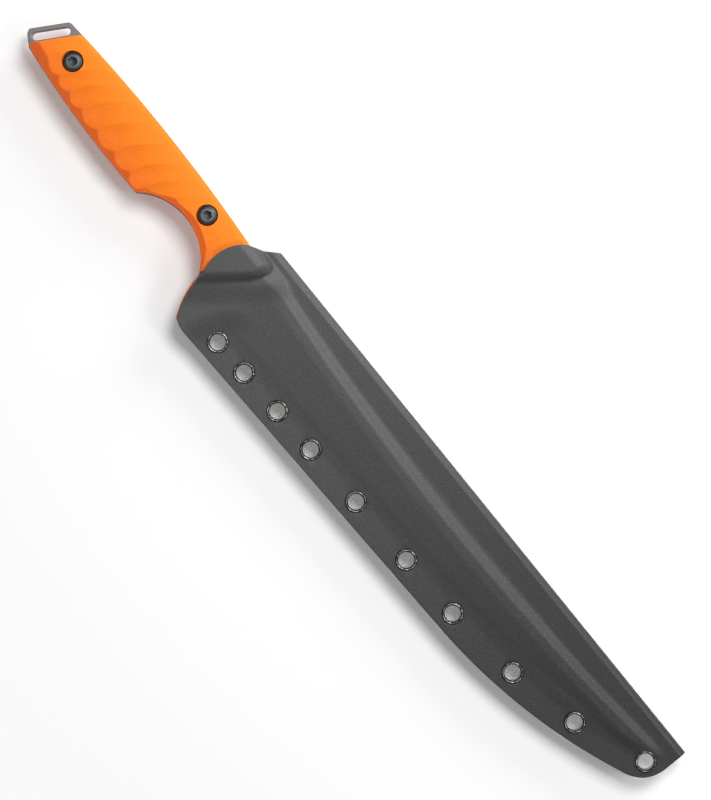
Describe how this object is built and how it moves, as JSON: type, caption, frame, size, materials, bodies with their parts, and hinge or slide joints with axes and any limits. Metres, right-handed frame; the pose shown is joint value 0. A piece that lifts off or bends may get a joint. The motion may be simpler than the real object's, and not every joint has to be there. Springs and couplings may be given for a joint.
{
  "type": "sheathed fixed-blade knife",
  "caption": "Long slim fixed-blade knife with a scalloped grip, seated in a folded and riveted moulded sheath.",
  "frame": {"origin": "bottom centre of the bounding box, on the face that the sheath lies on", "axes": "+X from the butt of the grip to the toe of the sheath, +Y towards the folded edge and the blade's spine, +Z out of the front face"},
  "size_m": [0.366, 0.0472, 0.0184],
  "materials": {
    "steel": "satin",
    "orange_composite": "machined, matte",
    "black_fastener": "black oxide",
    "thermoplastic": "fine pebble grain",
    "aged_rivet": "aged, bright where rubbed"
  },
  "bodies": {
    "sheath": {"sheath_shell": "thermoplastic", "sheath_rivet_01": "aged_rivet", "sheath_rivet_02": "aged_rivet", "sheath_rivet_03": "aged_rivet", "sheath_rivet_04": "aged_rivet", "sheath_rivet_05": "aged_rivet", "sheath_rivet_06": "aged_rivet", "sheath_rivet_07": "aged_rivet", "sheath_rivet_08": "aged_rivet", "sheath_rivet_09": "aged_rivet", "sheath_rivet_10": "aged_rivet"},
    "knife": {"blade": "steel", "front_scale": "orange_composite", "back_scale": "orange_composite", "front_handle_screw": "black_fastener", "rear_handle_screw": "black_fastener", "front_handle_post": "black_fastener", "rear_handle_post": "black_fastener"}
  },
  "joints": [
    {"name": "draw", "type": "slide", "parent": "sheath", "child": "knife", "axis": [-1, 0, 0], "range_m": [0, 0.26]}
  ]
}
